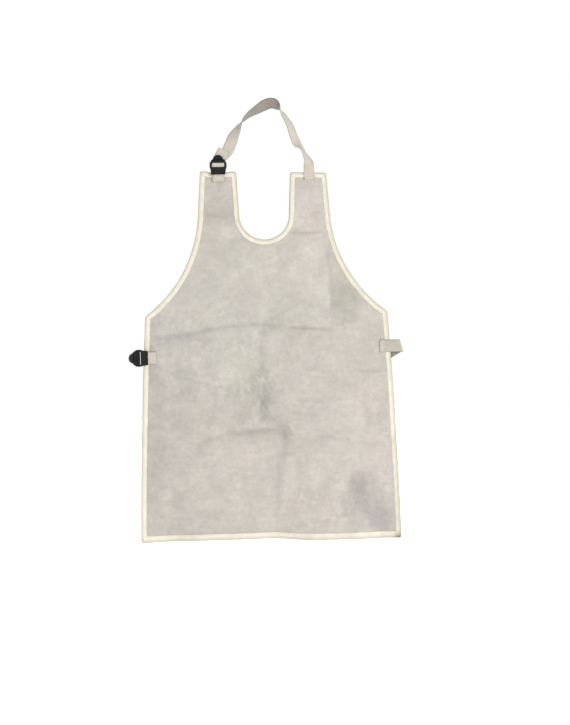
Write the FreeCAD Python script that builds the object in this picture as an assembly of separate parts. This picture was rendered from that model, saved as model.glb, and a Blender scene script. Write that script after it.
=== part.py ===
import FreeCAD, Part
import os
from math import cos, radians, sin, sqrt, tan

# Bib apron of split leather with a bound edge, an adjustable neck strap and a
# waist strap that closes in a ladder-lock buckle. Millimetres.
# Everything is laid out from the middle of the hem: x to the viewer's right,
# z above the hem, y backwards from the middle of the leather. On export the
# whole apron moves so that the frame's origin is the point it hangs from.

V = FreeCAD.Vector

# Leather panel
LEATHER = 1.5
TOP_Z = 890.0
HEM_HALF = 314.5
SIDE_HALF, SIDE_Z = 307.5, 250.0
ARMPIT_HALF, ARMPIT_Z = 292.0, 547.0
ARMHOLE_HALF, ARMHOLE_Z = 197.0, 655.0
CHEST_HALF, CHEST_Z = 159.0, 785.0
SHOULDER_HALF = 152.0
NECK_TOP_HALF, NECK_LOW_HALF = 66.0, 61.0
NECK_BOTTOM_Z = 726.0
CORNER_R = 6.0

# Binding tape, folded over the edge, and its seam
TAPE = 0.6
TAPE_WIDTH, HEM_TAPE = 12.0, 15.0
SEAM_MARGIN, SEAM_WIDTH, THREAD = 2.6, 0.8, 0.25
SIDE_TAPE_X = 140.0

# Webbing
WEB = 1.5
WEB_WIDTH = 30.0
NECK_WEB_WIDTH, THREADED_WIDTH = 28.0, 29.6
SEWN_WEB_WIDTH = 26.0

# Ladder-lock buckle, in its own axes: s along it, n out of its front
LOCK_HALF, LOCK_EAR_HALF, LOCK_INNER_HALF = 17.0, 20.5, 15.4
HOOD_LENGTH, HOOD_BACK_N, LOCK_FRONT_N = 15.2, 8.3, 10.3
LOCK_BACK_N = 1.95
BAR_S, BAR_N, BAR_R = 9.5, 4.65, 1.5
TOOTH_BAR = (19.4, 28.5, 3.6, 7.6)
LIP_S, LIP_HALF, LIP_BACK_N, LIP_FRONT_N = 27.7, 17.0, 10.1, 11.2
BEAD_START_S, BEAD_END_S = 13.0, 17.8
CROSS_S, CROSS_END_S, CROSS_BACK_N, CROSS_FRONT_N = 32.7, 36.2, 5.2, 7.8
TAB_R, TAB_S, TAB_TILT = 13.0, 34.6, 22.0
EDGE_R = 0.5

# Where the fittings sit
NECK_LOCK_X, NECK_LOCK_Z = -108.0, 886.0
NECK_SEWN_X, SHOULDER_PATCH_Z, SHOULDER_PATCH = 111.0, 869.5, 14.0
WAIST_LOCK_X, WAIST_LOCK_Z = -287.5, 447.0
WAIST_PATCH_X, WAIST_HINGE_X = -269.0, -283.5
WAIST_STRAP_Z, WAIST_STRAP_START, WAIST_FOLD_X = 463.5, 273.0, 321.0
FOLD_LEAN, FOLD_R = 15.0, 4.0
RUN_LENGTH = 76.0
HANK_LENGTH, HANK_DEPTH, WRAP_HEIGHT, WRAP_DROP = 168.0, 9.6, 30.0, 62.0
THREADED_S, BAR_GAP = 32.0, 0.6
BEHIND_BACK_N, BEHIND_FRONT_N = 1.5, 3.0    # strap going in behind the toothed bar
TAIL_BACK_N, TAIL_FRONT_N = 3.4, 4.9        # strap coming out under the tab
TAIL_LENGTH, TAIL_LEAN, TAIL_SLANT = 38.0, 30.0, 6.0
PATCH_SEAM_INSET = 2.0
NECK_LOOP_SEAM, NECK_END_SEAM, WAIST_END_SEAM = 9.0, 12.0, 20.0
CLEARANCE = 0.4

HANG_X, HANG_Z = 28.0, 1058.0

SKIN_N = LEATHER / 2 + TAPE          # front face of the folded tape
LAYER_N = SKIN_N + WEB               # front face of one sewn layer
DOUBLE_N = SKIN_N + 2 * WEB          # front face of two sewn layers
FOLD_Y = FOLD_R - SKIN_N - WEB / 2   # middle of the waist strap's fold
RUN_Y = FOLD_Y + FOLD_R              # middle of the run behind the apron


def save(name, shape):
    """Move a finished sub-part into the hanging frame and write it."""
    placed = shape.copy()
    placed.translate(V(-HANG_X, 0, -HANG_Z))
    placed.exportStep("parts/" + name + ".step")
    size = placed.BoundBox
    print(name, len(placed.Solids), placed.isValid(), round(placed.Volume, 1),
          [round(v, 1) for v in (size.XLength, size.YLength, size.ZLength)])


def block(x0, x1, y0, y1, z0, z1):
    return Part.makeBox(x1 - x0, y1 - y0, z1 - z0, V(x0, y0, z0))


def slab(face, n_back, n_front):
    """A flat outline given thickness between two heights in front of the apron."""
    solid = face.copy()
    solid.translate(V(0, -n_front, 0))
    return solid.extrude(V(0, n_front - n_back, 0))


def profile(points, x0, x1):
    """A closed outline of (s, n) points, run across from x0 to x1."""
    corners = [V(x0, -n, s) for s, n in points]
    return Part.Face(Part.makePolygon(corners + corners[:1])).extrude(V(x1 - x0, 0, 0))


# The leather and what is sewn round its edge

def panel_face():
    """Outline of the leather, with every outward corner rounded."""
    right = [V(NECK_TOP_HALF, 0, TOP_Z), V(SHOULDER_HALF, 0, TOP_Z), V(CHEST_HALF, 0, CHEST_Z),
             V(ARMPIT_HALF, 0, ARMPIT_Z), V(HEM_HALF, 0, 0)]
    neck = V(NECK_LOW_HALF, 0, NECK_BOTTOM_Z + NECK_LOW_HALF)
    half = [Part.LineSegment(neck, right[0]), Part.LineSegment(right[0], right[1]),
            Part.LineSegment(right[1], right[2]),
            Part.Arc(right[2], V(ARMHOLE_HALF, 0, ARMHOLE_Z), right[3]),
            Part.Arc(right[3], V(SIDE_HALF, 0, SIDE_Z), right[4])]
    edges = [curve.toShape() for curve in half]
    mirrored = [edge.mirror(V(0, 0, 0), V(1, 0, 0)) for edge in edges]
    hem = Part.LineSegment(V(HEM_HALF, 0, 0), V(-HEM_HALF, 0, 0)).toShape()
    bottom = Part.Arc(neck, V(0, 0, NECK_BOTTOM_Z), V(-NECK_LOW_HALF, 0, neck.z)).toShape()
    wire = Part.Wire(Part.__sortEdges__(edges + [hem] + mirrored + [bottom]))
    return Part.Face(wire).makeOffset2D(-CORNER_R).makeOffset2D(CORNER_R)


def edge_band(face, outside, inside):
    """The strip of a panel's plane between two distances from its edge."""
    return face.makeOffset2D(outside).cut(face.makeOffset2D(inside))


def four_tapes(band, hem):
    """Split a band round the edge where one tape ends and the next begins."""
    deep, far = 50.0, 1000.0
    return {
        "neckline": band.common(block(-SIDE_TAPE_X, SIDE_TAPE_X, -deep, deep, HEM_TAPE, far)),
        "left_side": band.common(block(-far, -SIDE_TAPE_X, -deep, deep, HEM_TAPE, far)),
        "right_side": band.common(block(SIDE_TAPE_X, far, -deep, deep, HEM_TAPE, far)),
        "hem": hem,
    }


def bindings(face, panel):
    """Four tapes folded over the edge; the hem's is the widest and laps the others."""
    band = slab(edge_band(face, TAPE, -TAPE_WIDTH), -SKIN_N, SKIN_N)
    whole = slab(face.makeOffset2D(TAPE), -SKIN_N, SKIN_N)
    below = block(-2 * HEM_HALF, 2 * HEM_HALF, -SKIN_N, SKIN_N, -HEM_TAPE, HEM_TAPE)
    return four_tapes(band.cut(panel), whole.common(below).cut(panel))


def binding_seams(face, patches):
    """Lockstitch along each tape: one line of thread in front and one behind."""
    inset = TAPE_WIDTH - SEAM_MARGIN
    line = edge_band(face, -inset, -inset - SEAM_WIDTH)
    hem_z = HEM_TAPE - SEAM_MARGIN
    both = []
    for n_back, n_front in ((SKIN_N, SKIN_N + THREAD), (-SKIN_N - THREAD, -SKIN_N)):
        hem = block(-HEM_HALF + inset, HEM_HALF - inset, -n_front, -n_back, hem_z - SEAM_WIDTH, hem_z)
        both.append(four_tapes(slab(line, n_back, n_front).cut(patches), hem))
    front, back = both
    return {name: Part.Compound(front[name].Solids + back[name].Solids) for name in front}


def box_seam(x0, x1, z0, z1, n):
    """A rectangle of thread lying on the front of a sewn patch."""
    outer = block(x0, x1, -n - THREAD, -n, z0, z1)
    inner = block(x0 + SEAM_WIDTH, x1 - SEAM_WIDTH, -n - THREAD, -n, z0 + SEAM_WIDTH, z1 - SEAM_WIDTH)
    return outer.cut(inner)


# The ladder-lock buckle

def ladder_lock():
    """Moulded frame: beaded hood over the fixed bar, toothed bar, and an arched tab behind a raised lip."""
    side_plan = [(LOCK_HALF, 0), (LOCK_HALF + 1.6, 13), (LOCK_EAR_HALF, 18), (LOCK_EAR_HALF, 27.5),
                 (15, CROSS_END_S)]
    plan = [(-x, s) for x, s in side_plan] + side_plan[::-1]
    corners = [V(x, 0, s) for x, s in plan]
    outline = Part.Face(Part.makePolygon(corners + corners[:1]))
    side = [(0, HOOD_BACK_N), (0, LOCK_FRONT_N), (HOOD_LENGTH, LOCK_FRONT_N), (20, 8.8),
            (CROSS_END_S, CROSS_FRONT_N), (CROSS_END_S, CROSS_BACK_N), (CROSS_S, CROSS_BACK_N),
            (30, LOCK_BACK_N), (12, LOCK_BACK_N), (7, 3.6), (3, 6.5), (2, HOOD_BACK_N)]
    frame = slab(outline, 0, 12).common(profile(side, -30, 30))
    under_hood = block(-LOCK_INNER_HALF, LOCK_INNER_HALF, -HOOD_BACK_N, 0, -1, CROSS_S)
    window = block(-LOCK_INNER_HALF, LOCK_INNER_HALF, -12, 0, HOOD_LENGTH, CROSS_S)
    frame = frame.cut(under_hood).cut(window)
    width = 2 * LOCK_INNER_HALF
    fixed_bar = Part.makeCylinder(BAR_R, width + 2, V(-LOCK_INNER_HALF - 1, -BAR_N, BAR_S), V(1, 0, 0))
    s0, s1, n0, n1 = TOOTH_BAR
    toothed = block(-LOCK_INNER_HALF - 1, LOCK_INNER_HALF + 1, -n1, -n0, s0, s1)
    long_edges = [edge for edge in toothed.Edges if edge.Length > width]
    toothed = toothed.makeFillet(1.2, long_edges)
    lip = profile([(LIP_S, LIP_BACK_N), (LIP_S, LIP_FRONT_N), (CROSS_S, LIP_FRONT_N), (CROSS_END_S, 9),
                   (CROSS_END_S, CROSS_BACK_N), (CROSS_S, CROSS_BACK_N), (CROSS_S, LIP_BACK_N)],
                  -LIP_HALF, LIP_HALF)
    lip = lip.common(slab(outline, 0, 12))
    bead = profile([(BEAD_START_S, 9), (BEAD_START_S, LOCK_FRONT_N), (BEAD_START_S + 1, LIP_FRONT_N),
                    (BEAD_END_S, LIP_FRONT_N), (BEAD_END_S, LIP_BACK_N), (HOOD_LENGTH, LIP_BACK_N),
                    (HOOD_LENGTH, 9)], -LIP_HALF, LIP_HALF)
    lock = frame.fuse([fixed_bar, toothed, lip, bead, arched_tab()]).removeSplitter()
    for chosen in (long_edge, outer_side_edge, tab_rim_edge):
        lock = lock.makeFillet(EDGE_R, [edge for edge in lock.Edges if chosen(edge)])
    return lock


def long_edge(edge):
    return edge.Length > 30


def outer_side_edge(edge):
    """On the outer face of a side rail or ear, but not at an end of the bead or the lip."""
    size = edge.BoundBox
    outside = LOCK_HALF - 0.1
    on_lip = abs(abs(size.XMin) - LIP_HALF) < 0.1 and size.ZMin > BEAD_START_S - 1
    return abs(size.XMin) > outside and abs(size.XMax) > outside and size.XLength < 3 and not on_lip


def tab_rim_edge(edge):
    return edge.BoundBox.ZMin > CROSS_END_S + 0.1 and edge.Length > 10


def arched_tab():
    """Half-round thumb tab with three grip ridges, lifted at its free end."""
    arc = Part.Arc(V(-TAB_R, 0, TAB_S), V(0, 0, TAB_S + TAB_R), V(TAB_R, 0, TAB_S)).toShape()
    base = Part.makePolygon([V(TAB_R, 0, TAB_S), V(TAB_R, 0, TAB_S - 1.5), V(-TAB_R, 0, TAB_S - 1.5),
                             V(-TAB_R, 0, TAB_S)])
    tab = slab(Part.Face(Part.Wire(base.Edges + [arc])), CROSS_BACK_N + 0.2, CROSS_FRONT_N)
    for row in range(3):
        s = TAB_S + 3.5 + 3 * row
        half = sqrt(TAB_R ** 2 - (s - TAB_S) ** 2) - 2.5
        ridge = Part.makeCylinder(0.6, 2 * half, V(-half, -CROSS_FRONT_N, s), V(1, 0, 0))
        tab = tab.fuse(ridge)
    tab.rotate(V(0, -6.5, TAB_S), V(1, 0, 0), TAB_TILT)
    return tab


def bar_eye(drop, flat, width):
    """Webbing round the fixed bar, its two ends drop millimetres below the bar.

    In the buckle's axes: the back layer lies on the apron, the front layer
    slopes down onto it and lies flat for its last stretch.
    """
    inner = BAR_R + 0.3
    outer = inner + WEB
    low = BAR_S - drop
    half = width / 2
    back = [(low, SKIN_N), (BAR_S, SKIN_N), (BAR_S, LAYER_N), (low, LAYER_N)]
    bend = low + flat
    front = [(BAR_S, BAR_N + outer), (BAR_S, BAR_N + inner), (bend + 0.5, LAYER_N), (low, LAYER_N),
             (low, DOUBLE_N), (bend, DOUBLE_N)]
    turn = Part.makeCylinder(outer, width, V(-half, -BAR_N, BAR_S), V(1, 0, 0))
    turn = turn.cut(Part.makeCylinder(inner, width, V(-half, -BAR_N, BAR_S), V(1, 0, 0)))
    turn = turn.common(block(-half, half, -20, 5, BAR_S, BAR_S + 20))
    return profile(back, -half, half).fuse([profile(front, -half, half), turn]).removeSplitter()


def to_neck(shape):
    """From the buckle's axes to the left shoulder, pointing up."""
    placed = shape.copy()
    placed.translate(V(NECK_LOCK_X, 0, NECK_LOCK_Z))
    return placed


def to_waist(shape):
    """From the buckle's axes to the left waist, pointing out to the left."""
    placed = shape.copy()
    placed.rotate(V(0, 0, 0), V(0, 1, 0), -90)
    placed.translate(V(WAIST_LOCK_X, 0, WAIST_LOCK_Z))
    return placed


# The neck strap

# Middle line of the loop from the buckle over to the right shoulder:
# x, y, z and how far the webbing is turned about its own length, in degrees.
NECK_LOOP = [
    (-108, -2.25, 918, 0), (-104, -2.25, 929, 0), (-93, -1.8, 945, 0), (-81, -0.8, 961, 3),
    (-72, 4, 979, 24), (-62, 9, 998, 50), (-53, 12, 1011, 72), (-46, 13, 1021, 92),
    (-35, 12, 1030, 125), (-15, 9, 1042, 137), (4, 5, 1049, 142), (18, 2, 1055, 160),
    (30, 0, 1058, 155), (39, -1, 1054, 122), (44, -1, 1047, 95), (50, -1, 1036, 66),
    (58, -1, 1019, 62), (66, -2, 1000, 58), (75, -3, 980, 48), (86, -4, 958, 45),
    (97, -4.4, 937, 66), (106, -4.6, 917, 48), (110.5, -4.65, 904, 6), (111, -4.65, 895.5, 0),
]


def neck_loop():
    """Flat webbing lofted through the loop's stations."""
    middles = [V(x, y, z) for x, y, z, turn in NECK_LOOP]
    sections = []
    for i, (x, y, z, turn) in enumerate(NECK_LOOP):
        ahead = middles[min(i + 1, len(middles) - 1)] - middles[max(i - 1, 0)]
        along = V(ahead.x, 0, ahead.z).normalize()
        if i in (0, len(NECK_LOOP) - 1):
            along = V(0, 0, 1 if i == 0 else -1)
        flat = V(along.z, 0, -along.x)
        across = flat * cos(radians(turn)) + V(0, 1, 0) * sin(radians(turn))
        through = along.cross(across).normalize() * (WEB / 2)
        across = across * (NECK_WEB_WIDTH / 2)
        corners = [middles[i] + across + through, middles[i] - across + through,
                   middles[i] - across - through, middles[i] + across - through]
        sections.append(Part.makePolygon(corners + corners[:1]))
    length = sum((b - a).Length for a, b in zip(middles, middles[1:]))
    print("neck loop length", round(length))
    roll = Part.makeCylinder(WEB / 2, NECK_WEB_WIDTH,
                             middles[-1] - V(NECK_WEB_WIDTH / 2, 0, 0), V(1, 0, 0))
    return Part.makeLoft(sections, True, True).fuse(roll)


def neck_threading():
    """The strap's path through the buckle: in behind, over the toothed bar, out under the tab."""
    _, s1, _, n1 = TOOTH_BAR
    half = THREADED_WIDTH / 2
    near, far = HOOD_LENGTH + CLEARANCE, s1 + 2 * CLEARANCE
    front = n1 + BAR_GAP
    path = [(THREADED_S, BEHIND_BACK_N), (near, BEHIND_BACK_N), (near, front + WEB), (far + WEB, front + WEB),
            (far + WEB, TAIL_FRONT_N), (THREADED_S, TAIL_FRONT_N), (THREADED_S, TAIL_BACK_N), (far, TAIL_BACK_N),
            (far, front), (near + WEB, front), (near + WEB, BEHIND_FRONT_N), (THREADED_S, BEHIND_FRONT_N)]
    return profile(path, -half, half)


def neck_tail():
    """Free end of the strap, lying on the strap above the buckle."""
    half = NECK_WEB_WIDTH / 2
    lean = radians(TAIL_LEAN)
    low = THREADED_S + CLEARANCE
    high = low + TAIL_LENGTH * cos(lean)
    shift = TAIL_LENGTH * sin(lean)
    corners = [V(-half, 0, low), V(half, 0, low), V(half + shift, 0, high - TAIL_SLANT),
               V(-half + shift, 0, high)]
    return slab(Part.Face(Part.makePolygon(corners + corners[:1])), TAIL_BACK_N, TAIL_FRONT_N)


def neck_sewn_end():
    """The strap's other end: sewn flat on the shoulder, then easing forward to its fold."""
    axis_z = NECK_LOCK_Z + BAR_S
    top = axis_z - WEB / 2 - CLEARANCE
    half = SEWN_WEB_WIDTH / 2
    lean_n = BAR_N - WEB / 2
    side = [(SHOULDER_PATCH_Z, SKIN_N), (SHOULDER_PATCH_Z, LAYER_N), (TOP_Z - 5, LAYER_N),
            (top, lean_n + WEB), (top, lean_n), (TOP_Z - 5, SKIN_N)]
    return profile(side, NECK_SEWN_X - half, NECK_SEWN_X + half)


# The waist strap

def fold_axis():
    lean = radians(FOLD_LEAN)
    return V(WAIST_FOLD_X, FOLD_Y, WAIST_STRAP_Z), V(-sin(lean), 0, cos(lean))


def waist_sewn_end():
    """Sewn flat on the right waist and running out past the edge to its fold."""
    half = WEB_WIDTH / 2
    skew = half * tan(radians(FOLD_LEAN))
    end = WAIST_FOLD_X - CLEARANCE
    corners = [V(WAIST_STRAP_START, 0, WAIST_STRAP_Z - half), V(end + skew, 0, WAIST_STRAP_Z - half),
               V(end - skew, 0, WAIST_STRAP_Z + half), V(WAIST_STRAP_START, 0, WAIST_STRAP_Z + half)]
    return slab(Part.Face(Part.makePolygon(corners + corners[:1])), SKIN_N, LAYER_N)


def waist_turn():
    """Half turn of webbing round the leaning fold line."""
    middle, axis = fold_axis()
    half = WEB_WIDTH / 2 / cos(radians(FOLD_LEAN))
    start = middle - axis * half
    outer = Part.makeCylinder(FOLD_R + WEB / 2, 2 * half, start, axis)
    inner = Part.makeCylinder(FOLD_R - WEB / 2, 2 * half, start, axis)
    outward = block(0, 20, -20, 20, -40, 40)
    outward.rotate(V(0, 0, 0), V(0, 1, 0), -FOLD_LEAN)
    outward.translate(middle)
    level = block(WAIST_FOLD_X - 20, WAIST_FOLD_X + 20, -20, 20,
                  WAIST_STRAP_Z - WEB_WIDTH / 2, WAIST_STRAP_Z + WEB_WIDTH / 2)
    return outer.cut(inner).common(outward).common(level)


def waist_run():
    """From the fold down and inwards behind the apron to the top of the hank."""
    half = WEB_WIDTH / 2
    skew = half * tan(radians(FOLD_LEAN))
    corners = [V(-RUN_LENGTH, -WEB / 2, -half), V(-skew, -WEB / 2, -half),
               V(skew, -WEB / 2, half), V(-RUN_LENGTH, -WEB / 2, half)]
    flat = Part.Face(Part.makePolygon(corners + corners[:1])).extrude(V(0, WEB, 0))
    flat.rotate(V(0, 0, 0), V(0, 1, 0), -2 * FOLD_LEAN)
    flat.translate(V(WAIST_FOLD_X, RUN_Y, WAIST_STRAP_Z))
    return flat


def hank_place():
    """Middle of the hank's top edge."""
    lean = radians(2 * FOLD_LEAN)
    reach = RUN_LENGTH - WEB_WIDTH / 2
    x = WAIST_FOLD_X - reach * cos(lean)
    z = WAIST_STRAP_Z - reach * sin(lean) + WEB_WIDTH / 2
    return V(x, RUN_Y + WEB / 2, z)


def waist_hank():
    """The rest of the strap folded to and fro into a flat bundle that hangs down."""
    top = hank_place()
    half = WEB_WIDTH / 2
    bundle = block(top.x - half, top.x + half, top.y, top.y + HANK_DEPTH, top.z - HANK_LENGTH, top.z)
    ends = [edge for edge in bundle.Edges if edge.Length == WEB_WIDTH and edge.BoundBox.YLength < 1e-6]
    return bundle.makeFillet(HANK_DEPTH / 2 - 0.2, ends)


def waist_wrap():
    """The strap's own last turn, wound once round the bundle."""
    top = hank_place()
    half = WEB_WIDTH / 2
    z1 = top.z - WRAP_DROP
    z0 = z1 - WRAP_HEIGHT
    outer = block(top.x - half - WEB, top.x + half + WEB, top.y - WEB, top.y + HANK_DEPTH + WEB, z0, z1)
    return outer.cut(block(top.x - half, top.x + half, top.y, top.y + HANK_DEPTH, z0, z1))


def build():
    os.makedirs("parts", exist_ok=True)
    face = panel_face()
    panel = slab(face, -LEATHER / 2, LEATHER / 2)
    save("leather_panel", panel)
    for name, tape in bindings(face, panel).items():
        save(name + "_binding", tape)

    neck_eye = to_neck(bar_eye(NECK_LOCK_Z + BAR_S - SHOULDER_PATCH_Z, SHOULDER_PATCH, WEB_WIDTH))
    waist_drop = abs(WAIST_HINGE_X - WAIST_LOCK_X) + BAR_S - CLEARANCE
    waist_eye = to_waist(bar_eye(waist_drop, 0.5, WEB_WIDTH))
    waist_patch = block(WAIST_HINGE_X, WAIST_PATCH_X, -DOUBLE_N, -SKIN_N,
                        WAIST_LOCK_Z - WEB_WIDTH / 2, WAIST_LOCK_Z + WEB_WIDTH / 2)
    neck_end = neck_sewn_end()
    waist_end = waist_sewn_end()
    patches = neck_eye.fuse([waist_patch, waist_eye, neck_end, waist_end])
    for name, seam in binding_seams(face, patches).items():
        save(name + "_stitching", seam)

    save("neck_buckle_loop", neck_eye)
    save("neck_buckle", to_neck(ladder_lock()))
    save("neck_strap_threading", to_neck(neck_threading()))
    save("neck_strap_tail", to_neck(neck_tail()))
    save("neck_strap", neck_loop())
    save("neck_strap_sewn_end", neck_end)

    save("waist_buckle_patch", waist_patch)
    save("waist_buckle_loop", waist_eye)
    save("waist_buckle", to_waist(ladder_lock()))
    save("waist_strap_sewn_end", waist_end)
    save("waist_strap_fold", waist_turn())
    save("waist_strap", waist_run())
    save("waist_strap_hank", waist_hank())
    save("waist_strap_wrap", waist_wrap())

    inset = PATCH_SEAM_INSET
    half = WEB_WIDTH / 2 - inset
    low = SHOULDER_PATCH_Z + inset
    save("neck_buckle_loop_stitching",
         box_seam(NECK_LOCK_X - half, NECK_LOCK_X + half, low, low + NECK_LOOP_SEAM, DOUBLE_N))
    sewn_half = SEWN_WEB_WIDTH / 2 - inset
    save("neck_strap_stitching",
         box_seam(NECK_SEWN_X - sewn_half, NECK_SEWN_X + sewn_half, low, low + NECK_END_SEAM, LAYER_N))
    save("waist_buckle_patch_stitching",
         box_seam(WAIST_HINGE_X + inset, WAIST_PATCH_X - inset,
                  WAIST_LOCK_Z - half, WAIST_LOCK_Z + half, DOUBLE_N))
    save("waist_strap_stitching",
         box_seam(WAIST_STRAP_START + inset, WAIST_STRAP_START + inset + WAIST_END_SEAM,
                  WAIST_STRAP_Z - half, WAIST_STRAP_Z + half, LAYER_N))


build()
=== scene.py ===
import math
import random

import bpy
import numpy as np
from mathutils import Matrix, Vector, noise
from mathutils.geometry import delaunay_2d_cdt


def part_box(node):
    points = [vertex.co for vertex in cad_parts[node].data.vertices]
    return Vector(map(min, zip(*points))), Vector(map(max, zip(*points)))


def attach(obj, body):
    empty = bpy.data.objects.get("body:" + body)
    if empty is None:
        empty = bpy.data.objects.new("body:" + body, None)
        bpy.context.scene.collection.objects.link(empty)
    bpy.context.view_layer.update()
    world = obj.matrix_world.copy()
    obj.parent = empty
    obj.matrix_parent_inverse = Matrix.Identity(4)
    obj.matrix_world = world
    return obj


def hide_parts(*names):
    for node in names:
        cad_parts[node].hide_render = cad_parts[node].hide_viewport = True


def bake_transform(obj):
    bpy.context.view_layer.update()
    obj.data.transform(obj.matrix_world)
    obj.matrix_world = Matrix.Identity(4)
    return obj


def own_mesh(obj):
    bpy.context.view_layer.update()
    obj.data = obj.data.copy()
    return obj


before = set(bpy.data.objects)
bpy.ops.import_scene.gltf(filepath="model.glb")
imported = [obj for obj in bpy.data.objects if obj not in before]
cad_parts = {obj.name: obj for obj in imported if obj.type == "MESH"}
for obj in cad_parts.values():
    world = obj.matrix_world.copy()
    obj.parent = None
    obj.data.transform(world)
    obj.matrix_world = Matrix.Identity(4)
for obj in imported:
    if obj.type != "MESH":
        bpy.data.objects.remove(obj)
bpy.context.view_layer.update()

# Shapes are laid out in millimetres from the middle of the hem, as the apron
# hangs: x to the right, y backwards from the middle of the leather, z up.
MM = 0.001
PANEL_LOW, PANEL_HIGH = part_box("leather_panel")
MIDDLE_X = (PANEL_LOW.x + PANEL_HIGH.x) / 2
HEM_Z = PANEL_LOW.z

LEATHER = 1.5
TAPE = 0.6
TAPE_WIDTH, NECKLINE_TAPE, HEM_TAPE = 12.0, 11.3, 15.0
WEB, WEB_WIDTH = 1.5, 30.0
SKIN_N = LEATHER / 2 + TAPE
LAYER_N = SKIN_N + WEB
DOUBLE_N = SKIN_N + 2 * WEB
SEAM_MARGIN = 2.4
STITCH_PITCH = 3.9

# The outline's corners, and one point inside each of its long curves
TOP_Z = 890.0
NECK_TOP_HALF, NECK_LOW_HALF, NECK_BOTTOM_Z = 66.0, 61.0, 726.0
SHOULDER = (152.0, TOP_Z)
CHEST, ARMHOLE, ARMPIT = (159.0, 785.0), (197.0, 655.0), (292.0, 547.0)
SIDE, HEM_CORNER = (307.5, 250.0), (314.5, 0.0)

# Fittings
NECK_LOCK_X, NECK_LOCK_Z = -108.0, 886.0
WAIST_LOCK_X, WAIST_LOCK_Z = -287.5, 447.0
BAR_S, BAR_N, BAR_EYE = 9.5, 4.65, 1.8
NECK_SEWN_X, SHOULDER_PATCH_Z = 111.0, 869.5
WAIST_PATCH_X, WAIST_HINGE_X = -269.0, -283.5
WAIST_STRAP_Z, WAIST_STRAP_START, WAIST_FOLD_X = 463.5, 273.0, 321.0
FOLD_LEAN, FOLD_R, RUN_REACH = 15.0, 4.0, 61.0
FOLD_Y = FOLD_R - SKIN_N - WEB / 2
RUN_Y = FOLD_Y + FOLD_R
HANK_LAYERS, HANK_PITCH, HANK_RUN = 6, 1.6, 150.0
HANK_ROOM = 1.5
WRAP_TOP_DROP, WRAP_HEIGHT, WRAP_HALF = 62.0, 30.0, 16.2


def at(x, y, z):
    """A point of the layout, in the frame's metres."""
    return Vector((MIDDLE_X + x * MM, y * MM, HEM_Z + z * MM))


# ---- the drape

# Where the leather is held or loaded, so that it lies true under the fittings
FITTINGS = [(-108, 880), (111, 880), (-285, 447), (290, 463)]

# Creases from being packed folded: points, depth (minus stands forward), half width, and how much painted
# shade darkens the line (minus: a painted highlight, lighter).
CREASES = [
    ([(57, 743), (105, 744), (153, 744)], 1.6, 5, 0.16),
    ([(-150, 786), (-105, 783), (-58, 779)], 1.8, 16, 0.07),
    ([(-290, 490), (-198, 500), (-125, 516), (-16, 524), (45, 513)], 1.7, 6, 0.13),
    ([(45, 513), (105, 510), (165, 504)], 1.5, 5, 0.17),
    ([(165, 506), (226, 524), (287, 538)], -1.2, 6, -0.06),
    ([(39, 545), (-9, 521), (-17, 484), (-13, 394), (-17, 345), (-9, 297), (39, 277)], 2.0, 12, 0.10),
    ([(-210, 228), (-113, 256), (-34, 264), (14, 266)], 2.0, 9, 0.09),
    ([(-60, 262), (-20, 266), (14, 266), (38, 248)], 1.0, 6, 0.13),
    ([(63, 256), (189, 238), (304, 217)], 1.0, 5, 0.05),
    ([(39, 277), (40, 241), (28, 175), (18, 120)], 1.6, 12, 0.09),
    ([(20, 140), (9, 18)], 1.2, 9, 0.03),
    ([(152, 723), (155, 620), (157, 529)], 1.2, 5, 0.07),
    ([(-230, 411), (-160, 392), (-92, 377)], -1.4, 6, -0.05),
    ([(-232, 402), (-160, 383), (-92, 369)], 0.6, 5, 0.08),
    ([(-209, 525), (-140, 556), (-75, 589)], -1.0, 5, -0.05),
    ([(23, 647), (97, 700)], 0.8, 4, 0.05),
    ([(193, 404), (240, 403), (284, 402)], 1.1, 4, 0.12),
    ([(88, 52), (140, 51), (197, 50)], -0.9, 4, -0.06),
    ([(88, 43), (140, 42), (197, 41)], 0.6, 4, 0.05),
]


def along_line(x, z, points):
    """Distance from (x, z) to a polyline, and the share of it passed there."""
    best = np.full(x.shape, 1e9)
    share = np.zeros(x.shape)
    lengths = [math.dist(a, b) for a, b in zip(points, points[1:])]
    passed = 0.0
    for (ax, az), (bx, bz), length in zip(points, points[1:], lengths):
        t = np.clip(((x - ax) * (bx - ax) + (z - az) * (bz - az)) / length ** 2, 0, 1)
        away = np.hypot(x - ax - t * (bx - ax), z - az - t * (bz - az))
        nearer = away < best
        best = np.where(nearer, away, best)
        share = np.where(nearer, (passed + t * length) / sum(lengths), share)
        passed += length
    return best, share


def soft_noise(x, z, scale, seed):
    """Smooth noise between about -1 and 1, its features scale millimetres across."""
    flat = [noise.noise(Vector((a / scale + seed, b / scale - seed, 3.7 * seed)))
            for a, b in zip(x.ravel(), z.ravel())]
    return np.array(flat).reshape(x.shape) * 1.6


def smooth(v, low, high):
    t = np.clip((v - low) / (high - low), 0, 1)
    return t * t * (3 - 2 * t)


def calm(x, z):
    """0 at the fittings, 1 away from them."""
    free = np.ones(np.shape(x))
    for fx, fz in FITTINGS:
        free = free * smooth(np.hypot(x - fx, z - fz), 26, 105)
    return free


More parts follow.
